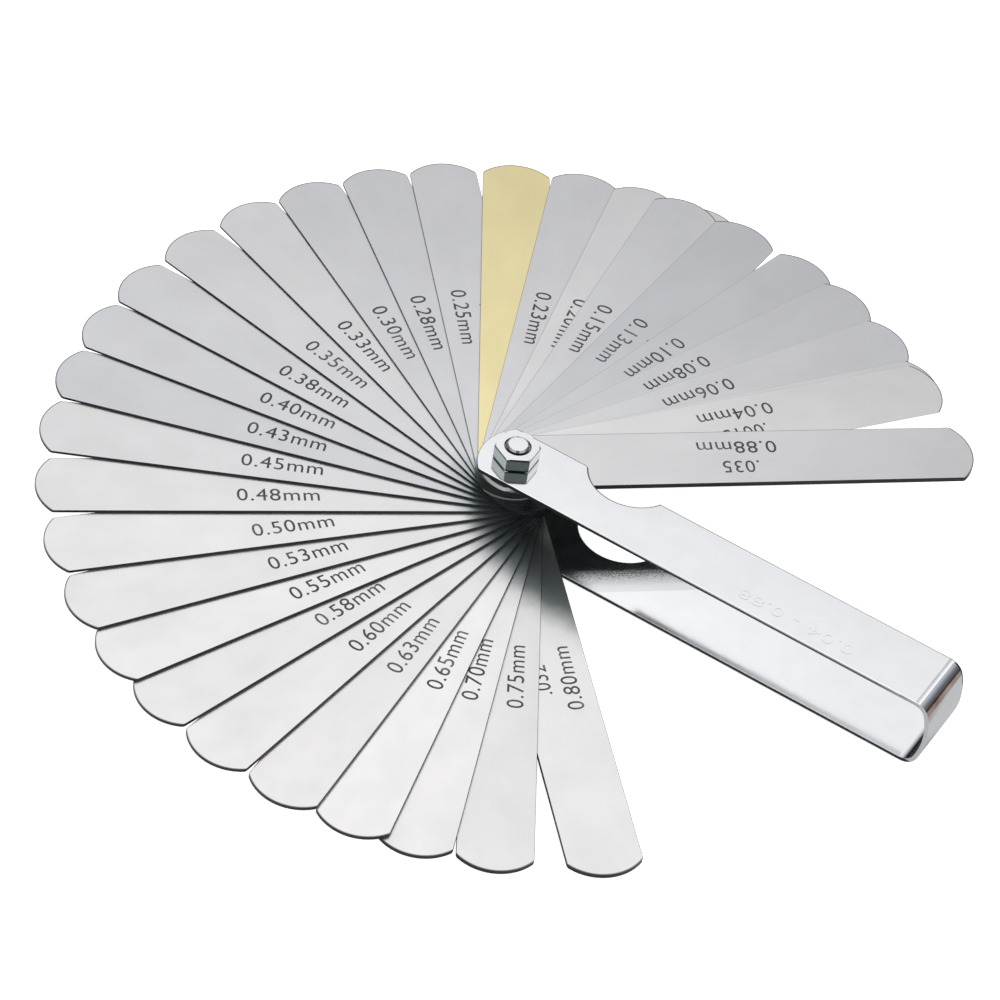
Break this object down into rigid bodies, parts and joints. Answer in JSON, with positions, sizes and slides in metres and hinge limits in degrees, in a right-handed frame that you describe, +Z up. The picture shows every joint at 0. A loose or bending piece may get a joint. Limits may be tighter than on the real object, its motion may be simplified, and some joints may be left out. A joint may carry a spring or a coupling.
{
  "type": "feeler gauge",
  "caption": "Feeler gauge with thin steel blades and one brass blade fanned out on a screw with a nut, and a folded strip handle with a thumb notch that the blades close into.",
  "frame": {"origin": "on the pivot screw's axis, at the flat end face of its head", "axes": "+X along the handle from the screw to the fold, +Z up the screw towards the nut, +Y towards the side with the thumb notch"},
  "size_m": [0.1691, 0.165, 0.0205],
  "materials": {
    "bright_plate": "bright nickel plate on formed steel strip, mirror smooth with fine handling scratches",
    "fastener_steel": "bright zinc plate",
    "blade_steel": "satin rolled spring steel with etched dark figures",
    "blade_brass": "satin rolled brass",
    "marking_ink": "blackened etched figures"
  },
  "bodies": {
    "handle_body": {"handle": "bright_plate", "pivot_screw": "fastener_steel", "clamp_nut": "fastener_steel"},
    "blade_0_88_body": {"blade_0_88": "blade_steel"},
    "blade_0_04_body": {"blade_0_04": "blade_steel"},
    "blade_0_05_body": {"blade_0_05": "blade_steel"},
    "blade_0_06_body": {"blade_0_06": "blade_steel"},
    "blade_0_08_body": {"blade_0_08": "blade_steel"},
    "blade_0_10_body": {"blade_0_10": "blade_steel"},
    "blade_0_13_body": {"blade_0_13": "blade_steel"},
    "blade_0_15_body": {"blade_0_15": "blade_steel"},
    "blade_0_18_body": {"blade_0_18": "blade_steel"},
    "blade_0_20_body": {"blade_0_20": "blade_steel"},
    "blade_0_23_body": {"blade_0_23": "blade_steel"},
    "blade_0_25_brass_body": {"blade_0_25_brass": "blade_brass"},
    "blade_0_25_body": {"blade_0_25": "blade_steel"},
    "blade_0_28_body": {"blade_0_28": "blade_steel"},
    "blade_0_30_body": {"blade_0_30": "blade_steel"},
    "blade_0_33_body": {"blade_0_33": "blade_steel"},
    "blade_0_35_body": {"blade_0_35": "blade_steel"},
    "blade_0_38_body": {"blade_0_38": "blade_steel"},
    "blade_0_40_body": {"blade_0_40": "blade_steel"},
    "blade_0_43_body": {"blade_0_43": "blade_steel"},
    "blade_0_45_body": {"blade_0_45": "blade_steel"},
    "blade_0_48_body": {"blade_0_48": "blade_steel"},
    "blade_0_50_body": {"blade_0_50": "blade_steel"},
    "blade_0_53_body": {"blade_0_53": "blade_steel"},
    "blade_0_55_body": {"blade_0_55": "blade_steel"},
    "blade_0_58_body": {"blade_0_58": "blade_steel"},
    "blade_0_60_body": {"blade_0_60": "blade_steel"},
    "blade_0_63_body": {"blade_0_63": "blade_steel"},
    "blade_0_65_body": {"blade_0_65": "blade_steel"},
    "blade_0_70_body": {"blade_0_70": "blade_steel"},
    "blade_0_75_body": {"blade_0_75": "blade_steel"},
    "blade_0_80_body": {"blade_0_80": "blade_steel"}
  },
  "joints": [
    {"name": "turn_0_88", "type": "hinge", "parent": "handle_body", "child": "blade_0_88_body", "pos_m": [0, 0, 0.01], "axis": [0, 0, 1], "range_deg": [-41, 319]},
    {"name": "turn_0_04", "type": "hinge", "parent": "handle_body", "child": "blade_0_04_body", "pos_m": [0, 0, 0.01], "axis": [0, 0, 1], "range_deg": [-53.5, 306.5]},
    {"name": "turn_0_05", "type": "hinge", "parent": "handle_body", "child": "blade_0_05_body", "pos_m": [0, 0, 0.01], "axis": [0, 0, 1], "range_deg": [-54.5, 305.5]},
    {"name": "turn_0_06", "type": "hinge", "parent": "handle_body", "child": "blade_0_06_body", "pos_m": [0, 0, 0.01], "axis": [0, 0, 1], "range_deg": [-63, 297]},
    {"name": "turn_0_08", "type": "hinge", "parent": "handle_body", "child": "blade_0_08_body", "pos_m": [0, 0, 0.01], "axis": [0, 0, 1], "range_deg": [-71.6, 288.4]},
    {"name": "turn_0_10", "type": "hinge", "parent": "handle_body", "child": "blade_0_10_body", "pos_m": [0, 0, 0.01], "axis": [0, 0, 1], "range_deg": [-79.4, 280.6]},
    {"name": "turn_0_13", "type": "hinge", "parent": "handle_body", "child": "blade_0_13_body", "pos_m": [0, 0, 0.01], "axis": [0, 0, 1], "range_deg": [-89.5, 270.5]},
    {"name": "turn_0_15", "type": "hinge", "parent": "handle_body", "child": "blade_0_15_body", "pos_m": [0, 0, 0.01], "axis": [0, 0, 1], "range_deg": [-98.4, 261.6]},
    {"name": "turn_0_18", "type": "hinge", "parent": "handle_body", "child": "blade_0_18_body", "pos_m": [0, 0, 0.01], "axis": [0, 0, 1], "range_deg": [-95, 265]},
    {"name": "turn_0_20", "type": "hinge", "parent": "handle_body", "child": "blade_0_20_body", "pos_m": [0, 0, 0.01], "axis": [0, 0, 1], "range_deg": [-104.1, 255.9]},
    {"name": "turn_0_23", "type": "hinge", "parent": "handle_body", "child": "blade_0_23_body", "pos_m": [0, 0, 0.01], "axis": [0, 0, 1], "range_deg": [-112.6, 247.4]},
    {"name": "turn_0_25_brass", "type": "hinge", "parent": "handle_body", "child": "blade_0_25_brass_body", "pos_m": [0, 0, 0.01], "axis": [0, 0, 1], "range_deg": [-122, 238]},
    {"name": "turn_0_25", "type": "hinge", "parent": "handle_body", "child": "blade_0_25_body", "pos_m": [0, 0, 0.01], "axis": [0, 0, 1], "range_deg": [-132, 228]},
    {"name": "turn_0_28", "type": "hinge", "parent": "handle_body", "child": "blade_0_28_body", "pos_m": [0, 0, 0.01], "axis": [0, 0, 1], "range_deg": [-141.5, 218.5]},
    {"name": "turn_0_30", "type": "hinge", "parent": "handle_body", "child": "blade_0_30_body", "pos_m": [0, 0, 0.01], "axis": [0, 0, 1], "range_deg": [-151, 209]},
    {"name": "turn_0_33", "type": "hinge", "parent": "handle_body", "child": "blade_0_33_body", "pos_m": [0, 0, 0.01], "axis": [0, 0, 1], "range_deg": [-160.5, 199.5]},
    {"name": "turn_0_35", "type": "hinge", "parent": "handle_body", "child": "blade_0_35_body", "pos_m": [0, 0, 0.01], "axis": [0, 0, 1], "range_deg": [-170.5, 189.5]},
    {"name": "turn_0_38", "type": "hinge", "parent": "handle_body", "child": "blade_0_38_body", "pos_m": [0, 0, 0.01], "axis": [0, 0, 1], "range_deg": [-180.5, 179.5]},
    {"name": "turn_0_40", "type": "hinge", "parent": "handle_body", "child": "blade_0_40_body", "pos_m": [0, 0, 0.01], "axis": [0, 0, 1], "range_deg": [-190, 170]},
    {"name": "turn_0_43", "type": "hinge", "parent": "handle_body", "child": "blade_0_43_body", "pos_m": [0, 0, 0.01], "axis": [0, 0, 1], "range_deg": [-199.5, 160.5]},
    {"name": "turn_0_45", "type": "hinge", "parent": "handle_body", "child": "blade_0_45_body", "pos_m": [0, 0, 0.01], "axis": [0, 0, 1], "range_deg": [-209, 151]},
    {"name": "turn_0_48", "type": "hinge", "parent": "handle_body", "child": "blade_0_48_body", "pos_m": [0, 0, 0.01], "axis": [0, 0, 1], "range_deg": [-219, 141]},
    {"name": "turn_0_50", "type": "hinge", "parent": "handle_body", "child": "blade_0_50_body", "pos_m": [0, 0, 0.01], "axis": [0, 0, 1], "range_deg": [-229, 131]},
    {"name": "turn_0_53", "type": "hinge", "parent": "handle_body", "child": "blade_0_53_body", "pos_m": [0, 0, 0.01], "axis": [0, 0, 1], "range_deg": [-238.5, 121.5]},
    {"name": "turn_0_55", "type": "hinge", "parent": "handle_body", "child": "blade_0_55_body", "pos_m": [0, 0, 0.01], "axis": [0, 0, 1], "range_deg": [-247.5, 112.5]},
    {"name": "turn_0_58", "type": "hinge", "parent": "handle_body", "child": "blade_0_58_body", "pos_m": [0, 0, 0.01], "axis": [0, 0, 1], "range_deg": [-256, 104]},
    {"name": "turn_0_60", "type": "hinge", "parent": "handle_body", "child": "blade_0_60_body", "pos_m": [0, 0, 0.01], "axis": [0, 0, 1], "range_deg": [-265.5, 94.5]},
    {"name": "turn_0_63", "type": "hinge", "parent": "handle_body", "child": "blade_0_63_body", "pos_m": [0, 0, 0.01], "axis": [0, 0, 1], "range_deg": [-275, 85]},
    {"name": "turn_0_65", "type": "hinge", "parent": "handle_body", "child": "blade_0_65_body", "pos_m": [0, 0, 0.01], "axis": [0, 0, 1], "range_deg": [-284, 76]},
    {"name": "turn_0_70", "type": "hinge", "parent": "handle_body", "child": "blade_0_70_body", "pos_m": [0, 0, 0.01], "axis": [0, 0, 1], "range_deg": [-291.5, 68.5]},
    {"name": "turn_0_75", "type": "hinge", "parent": "handle_body", "child": "blade_0_75_body", "pos_m": [0, 0, 0.01], "axis": [0, 0, 1], "range_deg": [-301, 59]},
    {"name": "turn_0_80", "type": "hinge", "parent": "handle_body", "child": "blade_0_80_body", "pos_m": [0, 0, 0.01], "axis": [0, 0, 1], "range_deg": [-314, 46]}
  ]
}
